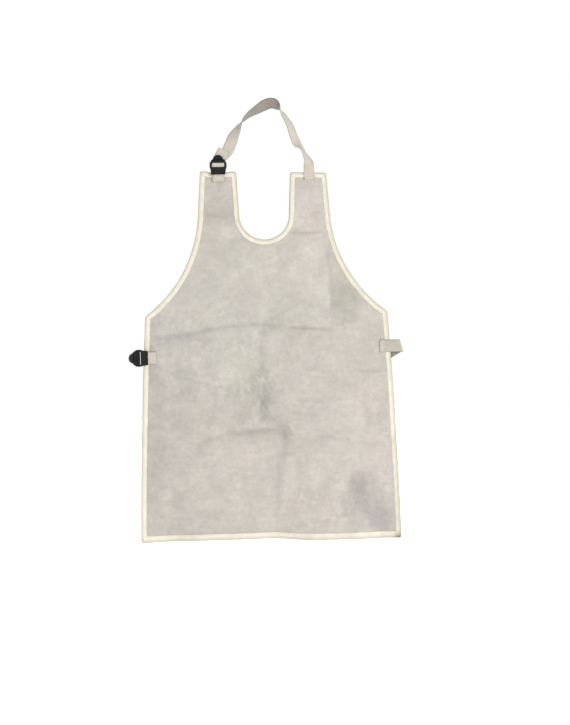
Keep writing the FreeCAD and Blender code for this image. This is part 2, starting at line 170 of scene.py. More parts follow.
def drape(x, z):
    """How the hanging leather stands off its flat plane: (y, z) shifts in millimetres."""
    x, z = np.asarray(x, float), np.asarray(z, float)
    low = np.clip(1 - z / 560, 0, 1)
    flutes = 6.5 * low ** 1.3 * np.sin(2 * math.pi * (x + 62) / 262)
    flutes += 2.6 * low ** 2 * np.sin(2 * math.pi * x / 131 + 1.1)
    chest = -4.5 * np.exp(-((x - 6) / 105) ** 2 - ((z - 640) / 95) ** 2)
    sides = 5.5 * smooth(np.abs(x), 190, 318) * smooth(-z, -540, -300)
    bib = 3.0 * np.sin(2 * math.pi * (x + 20) / 300) * smooth(z, 520, 640) * smooth(-z, -890, -780)
    shift = flutes + chest + sides + bib + 2.4 * soft_noise(x, z, 120, 5) + 0.8 * soft_noise(x, z, 38, 9)
    for points, depth, half, dark in CREASES:
        away, share = along_line(x, z, points)
        fade = smooth(share, -0.02, 0.12) * smooth(-share, -1.02, -0.88)
        shift = shift + depth * np.exp(-(away / half) ** 2) * np.maximum(fade, 0.25)
    shift = shift * calm(x, z)
    behind = smooth(x, 225, 246) * smooth(-x, -308, -290) * smooth(z, 240, 270) * smooth(-z, -490, -462)
    shift = shift * (1 - behind) + np.minimum(shift, HANK_ROOM) * behind
    low_hem = 1.5 - 2.8 * np.tanh((x - 50) / 45) - 4.0 * smooth(-x, 150, 300)
    # The shoulders slope, but the buckle's weight keeps the edge below it down
    weighed = np.exp(-((x - NECK_LOCK_X) / 27) ** 4) * smooth(z, 845, 882)
    lean = -0.036 * x * smooth(z, 640, 860) * (1 - 0.9 * weighed)
    return shift, low_hem * np.clip(1 - z / 150, 0, 1) ** 1.5 + lean


# ---- the outline

def arc(a, through, b, step):
    """Points on the circle through three points, from a to b."""
    ax, ay, bx, by, cx, cy = *a, *through, *b
    d = 2 * (ax * (by - cy) + bx * (cy - ay) + cx * (ay - by))
    sa, sb, sc = ax * ax + ay * ay, bx * bx + by * by, cx * cx + cy * cy
    ox = (sa * (by - cy) + sb * (cy - ay) + sc * (ay - by)) / d
    oy = (sa * (cx - bx) + sb * (ax - cx) + sc * (bx - ax)) / d
    r = math.hypot(ax - ox, ay - oy)
    start, middle, end = (math.atan2(p[1] - oy, p[0] - ox) for p in (a, through, b))
    turn = (end - start) % (2 * math.pi)
    if (middle - start) % (2 * math.pi) > turn:
        turn -= 2 * math.pi
    count = max(2, int(abs(turn) * r / step))
    return [(ox + r * math.cos(start + turn * i / count), oy + r * math.sin(start + turn * i / count))
            for i in range(count + 1)]


def straight(a, b, step):
    count = max(2, int(math.dist(a, b) / step))
    return [(a[0] + (b[0] - a[0]) * i / count, a[1] + (b[1] - a[1]) * i / count) for i in range(count + 1)]


def outline(step=1.0, rounding=3.2):
    """The leather's edge as a closed line, anticlockwise from the right shoulder's outer corner."""
    mirror = lambda points: [(-x, z) for x, z in reversed(points)]
    neck_side = (NECK_LOW_HALF, NECK_BOTTOM_Z + NECK_LOW_HALF)
    right_top = straight(SHOULDER, (NECK_TOP_HALF, TOP_Z), step)
    right_top += straight((NECK_TOP_HALF, TOP_Z), neck_side, step)
    bowl = arc(neck_side, (0, NECK_BOTTOM_Z), (-neck_side[0], neck_side[1]), step)
    side = arc(HEM_CORNER, SIDE, ARMPIT, step) + arc(ARMPIT, ARMHOLE, CHEST, step)
    side += straight(CHEST, SHOULDER, step)
    hem = straight((-HEM_CORNER[0], 0), HEM_CORNER, step)
    line = np.array(right_top + bowl + mirror(right_top) + mirror(side) + hem + side)
    keep = np.hypot(*(line - np.roll(line, 1, 0)).T) > 1e-6
    line = resample(line[keep], step)
    reach = int(4 * rounding)
    weights = np.exp(-0.5 * (np.arange(-reach, reach + 1) / rounding) ** 2)
    weights /= weights.sum()
    return sum(w * np.roll(line, k - reach, 0) for k, w in enumerate(weights))


def resample(line, step):
    """A closed line's points, evenly spaced."""
    closed = np.vstack([line, line[:1]])
    run = np.concatenate([[0], np.cumsum(np.hypot(*np.diff(closed, axis=0).T))])
    count = int(round(run[-1] / step))
    places = np.arange(count) * run[-1] / count
    return np.column_stack([np.interp(places, run, closed[:, 0]), np.interp(places, run, closed[:, 1])])


EDGE = outline()
EDGE_STEP = 1.0


def edge_index(x, z):
    return int(np.argmin(np.hypot(EDGE[:, 0] - x, EDGE[:, 1] - z)))


def edge_normals():
    along = np.roll(EDGE, -3, 0) - np.roll(EDGE, 3, 0)
    along /= np.hypot(*along.T)[:, None]
    return np.column_stack([along[:, 1], -along[:, 0]])


OUTWARD = edge_normals()


def stretch_of(start, end, step):
    """Edge points and outward normals from one corner round to another, step millimetres apart."""
    a, b = edge_index(*start), edge_index(*end)
    length = (b - a) % len(EDGE)
    count = max(2, int(length * EDGE_STEP / step))
    places = (a + length * np.arange(count + 1) / count) % len(EDGE)
    whole = places.astype(int)
    part = (places - whole)[:, None]
    after = (whole + 1) % len(EDGE)
    return (EDGE[whole] * (1 - part) + EDGE[after] * part,
            OUTWARD[whole] * (1 - part) + OUTWARD[after] * part)


# ---- mesh building

def make_piece(name, points, faces, material, body=None, replaces=()):
    """A mesh from layout points; it rides on body unless that is left out."""
    mesh = bpy.data.meshes.new(name)
    mesh.from_pydata([at(*p) for p in points], [], faces)
    mesh.update()
    mesh.shade_smooth()
    mesh.materials.append(material)
    piece = bpy.data.objects.new(name, mesh)
    bpy.context.collection.objects.link(piece)
    if body:
        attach(piece, body)
    if replaces:
        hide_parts(*replaces)
    return piece


def set_number(piece, name, values):
    layer = piece.data.attributes.new(name, "FLOAT", "POINT")
    layer.data.foreach_set("value", np.asarray(values, np.float32))


def set_cloth(piece, weave, edge_shade_and_wear, shade_darkening):
    """What the woven materials read from each point."""
    layer = piece.data.attributes.new("weave", "FLOAT_VECTOR", "POINT")
    layer.data.foreach_set("vector", np.asarray(weave, np.float32).ravel())
    set_number(piece, "edge_shade_and_wear", edge_shade_and_wear)
    set_number(piece, "shade_darkening", shade_darkening)


def tube_faces(rings, around, first=0):
    """Quads between rings of points, and a cap at each end."""
    faces = []
    for i in range(rings - 1):
        for k in range(around):
            a, b = first + i * around + k, first + i * around + (k + 1) % around
            faces.append((a, b, b + around, a + around))
    faces.append(tuple(first + k for k in reversed(range(around))))
    faces.append(tuple(first + (rings - 1) * around + k for k in range(around)))
    return faces


def in_patch(x, z):
    """Under one of the webbing patches sewn on the front."""
    return ((abs(x - NECK_LOCK_X) < 15 and z > SHOULDER_PATCH_Z)
            or (abs(x - NECK_SEWN_X) < 13.5 and z > SHOULDER_PATCH_Z)
            or (x < WAIST_PATCH_X and abs(z - WAIST_LOCK_Z) < 15)
            or (x > WAIST_STRAP_START and abs(z - WAIST_STRAP_Z) < 15))


# ---- materials

def new_material(name, colour, roughness, specular):
    material = bpy.data.materials.new(name)
    material.use_nodes = True
    shader = material.node_tree.nodes["Principled BSDF"]
    shader.inputs["Base Color"].default_value = (*colour, 1)
    shader.inputs["Roughness"].default_value = roughness
    shader.inputs["Specular IOR Level"].default_value = specular
    return material, material.node_tree, shader


def plug(socket, value):
    """Link another node's output to a socket, or set a number, vector or colour on it."""
    if isinstance(value, bpy.types.NodeSocket):
        socket.id_data.links.new(value, socket)
    else:
        socket.default_value = (*value, 1) if socket.type == "RGBA" else value


def node(tree, kind, **settings):
    made = tree.nodes.new(kind)
    for key, value in settings.items():
        if key in made.inputs:
            plug(made.inputs[key], value)
        else:
            setattr(made, key, value)
    return made


def fractal(tree, source, scale, detail, rough, distortion=0.0):
    return node(tree, "ShaderNodeTexNoise", Vector=source, Scale=scale, Detail=detail, Roughness=rough,
                Distortion=distortion).outputs["Fac"]


def remap(tree, value, low, high, to_low, to_high):
    made = node(tree, "ShaderNodeMapRange", Value=value)
    for key, number in (("From Min", low), ("From Max", high), ("To Min", to_low), ("To Max", to_high)):
        made.inputs[key].default_value = number
    return made.outputs["Result"]


def maths(tree, operation, a, b=0.0):
    made = node(tree, "ShaderNodeMath", operation=operation)
    plug(made.inputs[0], a)
    plug(made.inputs[1], b)
    return made.outputs[0]


def blend_colours(tree, mode, amount, a, b):
    made = node(tree, "ShaderNodeMix", data_type="RGBA", blend_type=mode)
    for key, value in ((0, amount), (6, a), (7, b)):
        plug(made.inputs[key], value)
    return made.outputs[2]


def mottled(tree, colour, layers):
    """A colour times each (noise, darkest, lightest) in turn."""
    for value, least, most in layers:
        colour = blend_colours(tree, "MULTIPLY", 1.0, colour, remap(tree, value, 0.3, 0.7, least, most))
    return colour


def mapped(tree, source, turn, **settings):
    return node(tree, "ShaderNodeMapping", **settings, Vector=source, Rotation=turn).outputs[0]


def bump(tree, shader, height, distance, strength):
    made = node(tree, "ShaderNodeBump", Strength=strength, Distance=distance, Height=height)
    plug(shader.inputs["Normal"], made.outputs["Normal"])


def object_place(tree):
    return tree.nodes.new("ShaderNodeTexCoord").outputs["Object"]


def painted(tree, name, kind="Fac"):
    """A value, vector or colour that the mesh carries under this name."""
    return node(tree, "ShaderNodeAttribute", attribute_name=name).outputs[kind]


def suede():
    """Split leather: clouded dye, brushed nap, loose fibres; the vertex tint adds painted shade and highlight
    along creases, a painted light a little lighter to the right, and darker or lighter patches.
    """
    material, tree, shader = new_material("suede", LEATHER_COLOUR, 0.93, 0.15)
    place = object_place(tree)
    clouds = fractal(tree, place, 6, 3, 0.55, 0.5)
    drift = fractal(tree, place, 17, 4, 0.55, 0.6)
    strokes = fractal(tree, mapped(tree, place, (0, 0.5, 0), Scale=(1, 1, 3.2)), 24, 5, 0.6, 0.8)
    mottle = fractal(tree, place, 85, 4, 0.6)
    nap = fractal(tree, place, 420, 3, 0.7)
    fibre = fractal(tree, place, 2100, 2, 0.6)
    colour = blend_colours(tree, "MIX", remap(tree, clouds, 0.40, 0.60, 0, 1), LEATHER_WARM, LEATHER_COOL)
    colour = blend_colours(tree, "MIX", remap(tree, drift, 0.42, 0.68, 0, 0.8), colour, LEATHER_PALE)
    colour = mottled(tree, colour, ((strokes, 0.94, 1.045), (mottle, 0.94, 1.05), (nap, 0.92, 1.07),
                                    (fibre, 0.92, 1.06)))
    colour = blend_colours(tree, "MULTIPLY", 1.0, colour, painted(tree, "tint", "Color"))
    scuffed = painted(tree, "scuffed")
    for turn, scale, strength in ((0.9, 34, 0.40), (-1.15, 46, 0.34), (1.5, 40, 0.36)):
        laid = mapped(tree, place, (0, turn, 0), vector_type="TEXTURE", Scale=(2.0, 1, 0.8))
        wisps = remap(tree, fractal(tree, laid, scale, 5, 0.62, 1.2), 0.55, 0.70, 0, strength)
        colour = blend_colours(tree, "MIX", maths(tree, "MULTIPLY", wisps, scuffed), colour, LEATHER_SCUFF)
    plug(shader.inputs["Base Color"], colour)
    height = maths(tree, "ADD", maths(tree, "MULTIPLY", mottle, 0.8), maths(tree, "MULTIPLY", nap, 0.6))
    height = maths(tree, "ADD", height, maths(tree, "MULTIPLY", fibre, 0.25))
    bump(tree, shader, height, 0.0010, 0.7)
    shader.inputs["Sheen Weight"].default_value = 0.25
    shader.inputs["Sheen Roughness"].default_value = 0.6
    return material


def thread_wave(tree, split, axis, period):
    """Ridges across one axis of the weave's own millimetres."""
    turned = maths(tree, "MULTIPLY", split.outputs[axis], 2 * math.pi / period)
    return remap(tree, maths(tree, "SINE", turned), -1, 1, 0, 1)


def woven(name, colour, dark, across_period, along_period, slant, depth, edge_tone, shade_tone):
    """Cloth of yarns that follow the piece's length, darker along its edges (painted shade on the tape's
    folded edge) and darker still where the mesh carries painted shade.
    """
    material, tree, shader = new_material(name, colour, 0.88, 0.2)
    split = tree.nodes.new("ShaderNodeSeparateXYZ")
    plug(split.inputs[0], mapped(tree, painted(tree, "weave", "Vector"), (0, 0, slant)))
    ribs = thread_wave(tree, split, 0, across_period)
    picks = thread_wave(tree, split, 1, along_period)
    yarn = maths(tree, "MULTIPLY", ribs, maths(tree, "ADD", maths(tree, "MULTIPLY", picks, 0.5), 0.5))
    place = object_place(tree)
    fuzz = fractal(tree, place, 1500, 2, 0.6)
    dirt = fractal(tree, place, 40, 4, 0.6)
    tone = blend_colours(tree, "MIX", remap(tree, yarn, 0, 0.8, 0, 1), dark, colour)
    tone = mottled(tree, tone, ((fuzz, 0.93, 1.05), (dirt, 0.90, 1.05)))
    # Darker along the edges: painted shade on the tape's folded edge, plain darkening on the webbing's edges
    edge_shade_and_wear = maths(tree, "MULTIPLY", painted(tree, "edge_shade_and_wear"), remap(tree, dirt, 0.3, 0.65, 0.5, 1))
    tone = blend_colours(tree, "MULTIPLY", edge_shade_and_wear, tone, edge_tone)
    # Painted shade that the mesh carries: folds, the turned-over strap top, the hem's curled corner
    tone = blend_colours(tree, "MULTIPLY", painted(tree, "shade_darkening"), tone, shade_tone)
    plug(shader.inputs["Base Color"], tone)
    bump(tree, shader, maths(tree, "ADD", yarn, maths(tree, "MULTIPLY", fuzz, 0.35)), depth, 0.8)
    shader.inputs["Sheen Weight"].default_value = 0.15
    shader.inputs["Sheen Roughness"].default_value = 0.5
    return material


def sewing_thread():
    material, tree, shader = new_material("sewing_thread", THREAD_COLOUR, 0.7, 0.3)
    plies = fractal(tree, object_place(tree), 2600, 2, 0.5)
    plug(shader.inputs["Base Color"], mottled(tree, THREAD_COLOUR, ((plies, 0.85, 1.08),)))
    bump(tree, shader, plies, 0.0002, 0.6)
    return material


def moulded_plastic():
    """Black acetal with the fine spark texture of the mould and a few rubbed spots."""
    material, tree, shader = new_material("moulded_plastic", PLASTIC_COLOUR, 0.42, 0.22)
    place = object_place(tree)
    rub = fractal(tree, place, 160, 4, 0.65)
    tone = blend_colours(tree, "MIX", remap(tree, rub, 0.52, 0.75, 0, 0.5), PLASTIC_COLOUR, PLASTIC_RUBBED)
    plug(shader.inputs["Base Color"], tone)
    plug(shader.inputs["Roughness"], remap(tree, rub, 0.35, 0.7, 0.36, 0.55))
    bump(tree, shader, fractal(tree, place, 2400, 2, 0.5), 0.00025, 0.5)
    return material


LEATHER_COLOUR = (0.450, 0.425, 0.385)
LEATHER_WARM = (0.462, 0.430, 0.388)
LEATHER_COOL = (0.446, 0.426, 0.388)
LEATHER_PALE = (0.515, 0.485, 0.435)
LEATHER_SCUFF = (0.60, 0.575, 0.525)
TAPE_COLOUR, TAPE_DARK = (0.80, 0.755, 0.63), (0.62, 0.58, 0.475)
WEB_COLOUR, WEB_DARK = (0.62, 0.575, 0.50), (0.47, 0.43, 0.37)
# Colours multiplied in for painted shade: on the tape's folded edge, at the hem's right corner, in the
# webbing's folds and where the neck strap turns over; the webbing's edges are darkened too
TAPE_EDGE_SHADE, TAPE_PAINTED_SHADE = (0.55, 0.53, 0.49), (0.42, 0.38, 0.36)
WEB_SOILED, WEB_SHADE_DARK = (0.66, 0.64, 0.64), (0.50, 0.48, 0.50)
THREAD_COLOUR = (0.66, 0.62, 0.53)
PLASTIC_COLOUR, PLASTIC_RUBBED = (0.008, 0.0078, 0.0075), (0.022, 0.021, 0.020)

SUEDE = suede()
TWILL = woven("twill_tape", TAPE_COLOUR, TAPE_DARK, 1.1, 1.6, 0.65, 0.00025, TAPE_EDGE_SHADE, TAPE_PAINTED_SHADE)
WEBBING = woven("webbing", WEB_COLOUR, WEB_DARK, 1.5, 1.1, 0.0, 0.0004, WEB_SOILED, WEB_SHADE_DARK)
THREAD = sewing_thread()
PLASTIC = moulded_plastic()


# ---- leather panel

def inside_edge(x, z, edge):
    """Whether points lie inside a closed line (even-odd rule)."""
    hits = np.zeros(x.shape, int)
    for (ax, az), (bx, bz) in zip(edge, np.roll(edge, -1, 0)):
        if az == bz:
            continue
        crosses = (az > z) != (bz > z)
        hits += crosses & (x < ax + (z - az) * (bx - ax) / (bz - az))
    return hits % 2 == 1


def panel_grid(spacing):
    """The edge and an even triangle grid inside it, joined into triangles."""
    rim = EDGE[::3]
    rows = np.arange(spacing * 0.6, TOP_Z, spacing * math.sqrt(3) / 2)
    x, z = [], []
    for i, row in enumerate(rows):
        columns = np.arange(-318, 318, spacing) + (i % 2) * spacing / 2
        x.append(columns)
        z.append(np.full(columns.shape, row))
    x, z = np.concatenate(x), np.concatenate(z)
    keep = inside_edge(x, z, rim[::2])
    x, z = x[keep], z[keep]
    gap = np.min(np.hypot(x[:, None] - rim[None, :, 0], z[:, None] - rim[None, :, 1]), axis=1)
    x, z = x[gap > spacing * 0.45], z[gap > spacing * 0.45]
    points = [Vector(p) for p in rim] + [Vector((a, b)) for a, b in zip(x, z)]
    made = delaunay_2d_cdt(points, [], [list(range(len(rim)))], 1, 1e-6)
    return np.array([tuple(p) for p in made[0]]), made[2]


def leather_tint(x, z):
    """Colour factors: painted shade and highlight along the creases, painted light a little lighter to the
    right, and darker or lighter patches.
    """
    # Warmer towards the hem and the right, greener across the chest
    green = np.exp(-((z - 540) / 190) ** 2 - ((x + 30) / 270) ** 2) * (1 + 0.3 * soft_noise(x, z, 110, 12))
    green = np.clip(green, 0, 1)[:, None]
    tint = np.array((1.012, 0.986, 0.984)) * (1 - green) + np.array((0.988, 0.998, 0.986)) * green
    # Painted light: a little lighter towards the right, darker towards the left, with small random tone on
    # top
    tint *= (0.968 + 0.020 * x / 300 + 0.028 * soft_noise(x, z, 14, 13)
             + 0.024 * soft_noise(x, z, 45, 14))[:, None]
    uneven = 1 + 0.55 * soft_noise(x, z, 22, 3)
    # Painted shade along the creases, and painted highlight where dark is below zero
    for points, depth, half, dark in CREASES:
        away, share = along_line(x, z, points)
        fade = smooth(share, -0.02, 0.15) * smooth(-share, -1.02, -0.85)
        amount = dark * np.exp(-(away / (half * 0.8)) ** 2) * np.maximum(fade, 0.15) * uneven
        tint *= (1 - amount)[:, None]
    marks = [
        # centre, half length along z, half width, lean in degrees, factors (or one for all three)
        ((-12, 376), 80, 32, -3, (0.895, 0.905, 0.895)),
        ((-10, 318), 38, 16, -8, (0.90, 0.93, 0.91)),
        ((40, 262), 22, 14, 30, (0.90, 0.92, 0.90)),
        ((240, 98), 86, 44, 26, (0.87, 0.862, 0.88)),
        ((214, 136), 34, 24, 20, 0.945),
        ((260, 48), 42, 34, 10, (0.925, 0.915, 0.935)),
        ((193, 570), 66, 36, 8, (0.90, 0.91, 0.885)),
        ((-112, 806), 34, 44, 0, (0.945, 0.965, 0.945)),
        ((-112, 862), 30, 40, 0, (0.94, 0.93, 0.94)),
        ((-210, 492), 16, 90, 4, (0.945, 0.945, 0.975)),
        ((-60, 400), 70, 50, 0, (0.945, 0.975, 0.94)),
        ((-215, 350), 110, 60, 10, (0.945, 0.94, 0.945)),
        ((-290, 280), 280, 46, 0, (0.875, 0.87, 0.885)),
        ((-45, 312), 80, 130, 0, (0.925, 0.925, 0.93)),
        ((205, 85), 75, 40, 0, (0.90, 0.90, 0.905)),
        ((188, 600), 60, 34, 0, (0.935, 0.94, 0.93)),
        ((0, 672), 42, 40, 0, 1.09),
        ((45, 150), 60, 26, 0, 1.12),
        ((90, 668), 50, 40, 0, 1.08),
        ((-88, 400), 26, 30, 0, 1.09),
        ((-90, 310), 24, 26, 0, 1.06),
        ((-135, 355), 26, 26, 0, 0.93),
        ((-268, 535), 22, 24, 0, (0.89, 0.89, 0.90)),
        ((-222, 470), 60, 26, 0, 0.94),
        ((228, 582), 30, 24, 0, 0.90),
        ((135, 580), 26, 26, 0, 1.09),
        ((180, 310), 30, 26, 0, 1.07),
        ((90, 492), 30, 46, 0, 0.945),
        ((-45, 150), 160, 34, 0, 0.955),
        ((113, 790), 60, 50, 0, (1.08, 1.07, 1.075)),
        ((130, 715), 34, 40, 0, (1.06, 1.055, 1.06)),
        ((278, 170), 90, 28, 0, (1.08, 1.075, 1.08)),
        ((30, 552), 40, 34, 20, (0.965, 0.985, 0.965)),
        ((85, 560), 40, 46, 0, (1.0, 1.01, 0.99)),
        ((30, 200), 70, 14, -8, (0.93, 0.925, 0.93)),
        ((-40, 700), 60, 90, 0, (0.975, 0.985, 0.97)),
        ((120, 660), 80, 30, 0, 1.03),
        ((110, 820), 60, 36, 0, (1.0, 0.985, 1.0)),
        ((150, 180), 90, 70, 0, (1.035, 1.03, 1.03)),
        ((-60, 170), 70, 70, 0, (1.035, 1.03, 1.03)),
        ((230, 340), 90, 50, 0, (1.03, 1.025, 1.02)),
    ]
    ragged = 1 + 0.16 * soft_noise(x, z, 34, 7) + 0.08 * soft_noise(x, z, 11, 8)
    for (cx, cz), long, wide, lean, factors in marks:
        c, s = math.cos(math.radians(lean)), math.sin(math.radians(lean))
        along = (z - cz) * c - (x - cx) * s
        across = (x - cx) * c + (z - cz) * s
        inside = 1 - smooth(np.sqrt((along / long) ** 2 + (across / wide) ** 2) * ragged, 0.62, 1.12)
        tint *= 1 + inside[:, None] * (np.array(factors) - 1)
    return tint


def leather_panel():
    flat, triangles = panel_grid(5.0)
    x, z = flat[:, 0], flat[:, 1]
    shift, sag = drape(x, z)
    count = len(x)
    sides = []
    for half in (-LEATHER / 2, LEATHER / 2):
        sides.append(np.column_stack([x, shift + half, z + sag]))
    faces = [tuple(f) for f in triangles]
    if Vector(flat[faces[0][1]] - flat[faces[0][0]]).cross(Vector(flat[faces[0][2]] - flat[faces[0][0]])) < 0:
        faces = [tuple(reversed(f)) for f in faces]
    back = [tuple(count + i for i in reversed(f)) for f in faces]
    directed = {(a, b) for f in faces for a, b in zip(f, f[1:] + f[:1])}
    rim = [(a, b) for a, b in directed if (b, a) not in directed]
    walls = [(b, a, a + count, b + count) for a, b in sorted(rim)]
    piece = make_piece("leather_panel", np.vstack(sides), faces + back + walls, SUEDE, "apron",
                       ["leather_panel"])
    tint = leather_tint(x, z)
    layer = piece.data.attributes.new("tint", "FLOAT_COLOR", "POINT")
    both = np.vstack([tint, np.clip(tint * 0.5 + 0.5, 0, 1.1)])
    layer.data.foreach_set("color", np.column_stack([both, np.ones(len(both))]).astype(np.float32).ravel())
    scuffed = 0.25 + 0.75 * np.exp(-((x + 95) / 150) ** 2 - ((z - 400) / 110) ** 2)
    scuffed = np.maximum(scuffed, 0.8 * np.exp(-((x - 90) / 150) ** 2 - ((z - 110) / 120) ** 2))
    set_number(piece, "scuffed", np.concatenate([scuffed, scuffed * 0.3]))


# ---- edge binding

def tape_section(extra, width_front, width_back):
    """Half-flattened U round the edge: (distance inwards, height y) points, closed."""
    skin, inner = SKIN_N + extra, LEATHER / 2 + extra * 0.6
    out = TAPE + extra
    bow = [(-out * 0.2, 0.98), (-out * 0.8, 0.6), (-out, 0), (-out * 0.8, -0.6), (-out * 0.2, -0.98)]
    outer = [(width_front, -inner - 0.15), (width_front - 0.35, -skin + 0.06), (width_front - 1.6, -skin),
             (width_front * 0.5, -skin - 0.10), (1.2, -skin)]
    outer += [(d, -h * skin) for d, h in bow]
    outer += [(1.2, skin), (width_back * 0.5, skin + 0.10), (width_back - 1.6, skin),
              (width_back - 0.35, skin - 0.06), (width_back, inner + 0.15)]
    inside = [(width_back - 0.2, inner), (2.0, inner), (0.25, inner * 0.5), (0.25, -inner * 0.5),
              (2.0, -inner), (width_front - 0.2, -inner)]
    return outer, inside


def binding(name, start, end, seed, extra, overrun, broad):
    """One tape folded over the edge between two corners, drawn in a little at each stitch."""
    edge, outward = stretch_of(start, end, 1.3)
    if overrun:
        first, last = edge[0] - edge[1], edge[-1] - edge[-2]
        first, last = first / np.hypot(*first), last / np.hypot(*last)
        edge = np.vstack([edge[0] + first * overrun, edge, edge[-1] + last * overrun])
        outward = np.vstack([outward[0], outward, outward[-1]])
    run = np.concatenate([[0], np.cumsum(np.hypot(*np.diff(edge, axis=0).T))])
    wander = np.array([noise.noise(Vector((s / 26, seed, 0))) for s in run])
    pucker = np.array([noise.noise(Vector((s / 7, seed + 4, 0))) for s in run])
    points, weave, edge_shade_and_wear, shade_darkening = [], [], [], []
    for i, s in enumerate(run):
        width = broad + 0.9 * wander[i] + 0.25 * pucker[i]
        outer, inside = tape_section(extra, width, TAPE_WIDTH + 0.8 - 0.9 * wander[i])
        pulled = 0.5 + 0.5 * math.cos(2 * math.pi * s / STITCH_PITCH)
        girth = 0.0
        ring = outer + inside
        for k, (d, y) in enumerate(ring):
            near_seam = math.exp(-((d - broad + SEAM_MARGIN) / 1.3) ** 2)
            lift = 0.16 * pucker[i] * (1 - near_seam) + 0.10 - 0.24 * near_seam * (0.45 + 0.55 * pulled)
            if k >= len(outer):
                lift = 0.0
            px = edge[i][0] - outward[i][0] * d
            pz = edge[i][1] - outward[i][1] * d
            points.append([px, y + math.copysign(lift, y) if abs(y) > 0.1 else y, pz])
            if k:
                girth += math.dist(ring[k], ring[k - 1])
            weave.append((girth, s, seed))
            # Painted shade along the tape's folded outer edge
            on_fold = math.exp(-((d + 0.3) / 1.5) ** 2)
            edge_shade_and_wear.append(on_fold)
            # Painted shade at the hem's right corner, under the curled tape
            corner = math.exp(-(math.hypot(px - 308, pz) / 10) ** 2)
            shade_darkening.append(0.35 * on_fold * (1 + wander[i]) + 0.9 * corner)
    points = np.array(points)
    shift, sag = drape(points[:, 0], points[:, 2])
    points[:, 1] += shift
    points[:, 2] += sag
    faces = tube_faces(len(run), len(outer) + len(inside))
    piece = make_piece(name, points, faces, TWILL, "apron", [name])
    set_cloth(piece, weave, edge_shade_and_wear, shade_darkening)


# ---- stitching

def stitch_mesh(ends, radius=0.27):
    """Short thick threads between pairs of points, dipping into the cloth at both ends."""
    points, faces, ring = [], [], 6
    stations = [(0.0, 0.35, 0.55), (0.16, 0.9, 0.12), (0.5, 1.0, -0.10), (0.84, 0.9, 0.12), (1.0, 0.35, 0.55)]
    for a, b, out in ends:
        a, b, out = Vector(a), Vector(b), Vector(out)
        along = (b - a).normalized()
        side = along.cross(out).normalized()
        first = len(points)
        for share, thick, sink in stations:
            middle = a.lerp(b, share) - out * sink * radius * 1.6
            for k in range(ring):
                turn = 2 * math.pi * k / ring
                rim = side * math.cos(turn) + out * math.sin(turn)
                points.append(middle + rim * radius * thick)
        faces += tube_faces(len(stations), ring, first)
    return points, faces


def seam_line(name, start, end, seed, extra, inset):
    """Lockstitch along a tape, in front and behind."""
    edge, outward = stretch_of(start, end, STITCH_PITCH)
    rng = random.Random(seed)
    x = edge[:, 0] - outward[:, 0] * inset
    z = edge[:, 1] - outward[:, 1] * inset
    shift, sag = drape(x, z)
    ends = []
    for i in range(2, len(x) - 3):
        jitter = rng.uniform(-0.16, 0.16)
        for face in (-1, 1):
            if face < 0 and in_patch(x[i], z[i]):
                continue
            height = face * (SKIN_N + extra + 0.02)
            a = Vector((x[i], shift[i] + height, z[i] + sag[i]))
            b = Vector((x[i + 1], shift[i + 1] + height, z[i + 1] + sag[i + 1]))
            aside = Vector((outward[i][0], 0, outward[i][1])) * jitter
            ends.append((a.lerp(b, 0.11) + aside, a.lerp(b, 0.89) + aside * 0.5, (0, face, 0)))
    points, faces = stitch_mesh(ends)
    make_piece(name, points, faces, THREAD, "apron", [name])


def sewn_lines(name, lines, front_y):
    """Stitches along straight lines on a patch's front."""
    ends = []
    for (ax, az), (bx, bz) in lines:
        length = math.dist((ax, az), (bx, bz))
        count = max(1, round(length / 2.9))
        for i in range(count):
            s, e = (i + 0.1) / count, (i + 0.9) / count
            ends.append(((ax + (bx - ax) * s, front_y, az + (bz - az) * s),
                         (ax + (bx - ax) * e, front_y, az + (bz - az) * e), (0, -1, 0)))
    points, faces = stitch_mesh(ends, 0.3)
    make_piece(name, points, faces, THREAD, "apron", [name])


def box_lines(x0, x1, z0, z1, crossed):
    corners = [(x0, z0), (x1, z0), (x1, z1), (x0, z1)]
    lines = list(zip(corners, corners[1:] + corners[:1]))
    if crossed:
        lines += [(corners[0], corners[2]), (corners[1], corners[3])]
    return lines


# ---- webbing

def smooth_route(stations, step):
    """Catmull-Rom through stations of equal-length tuples, about step apart by their first three."""
    rows = [np.array(s, float) for s in stations]
    rows = [2 * rows[0] - rows[1]] + rows + [2 * rows[-1] - rows[-2]]
    made = []
    for p0, p1, p2, p3 in zip(rows, rows[1:], rows[2:], rows[3:]):
        count = max(1, int(np.linalg.norm((p2 - p1)[:3]) / step))
        for i in range(count):
            t = i / count
            made.append(0.5 * (2 * p1 + (p2 - p0) * t + (2 * p0 - 5 * p1 + 4 * p2 - p3) * t ** 2
                               + (3 * p1 - p0 - 3 * p2 + p3) * t ** 3))
    made.append(rows[-2])
    return made


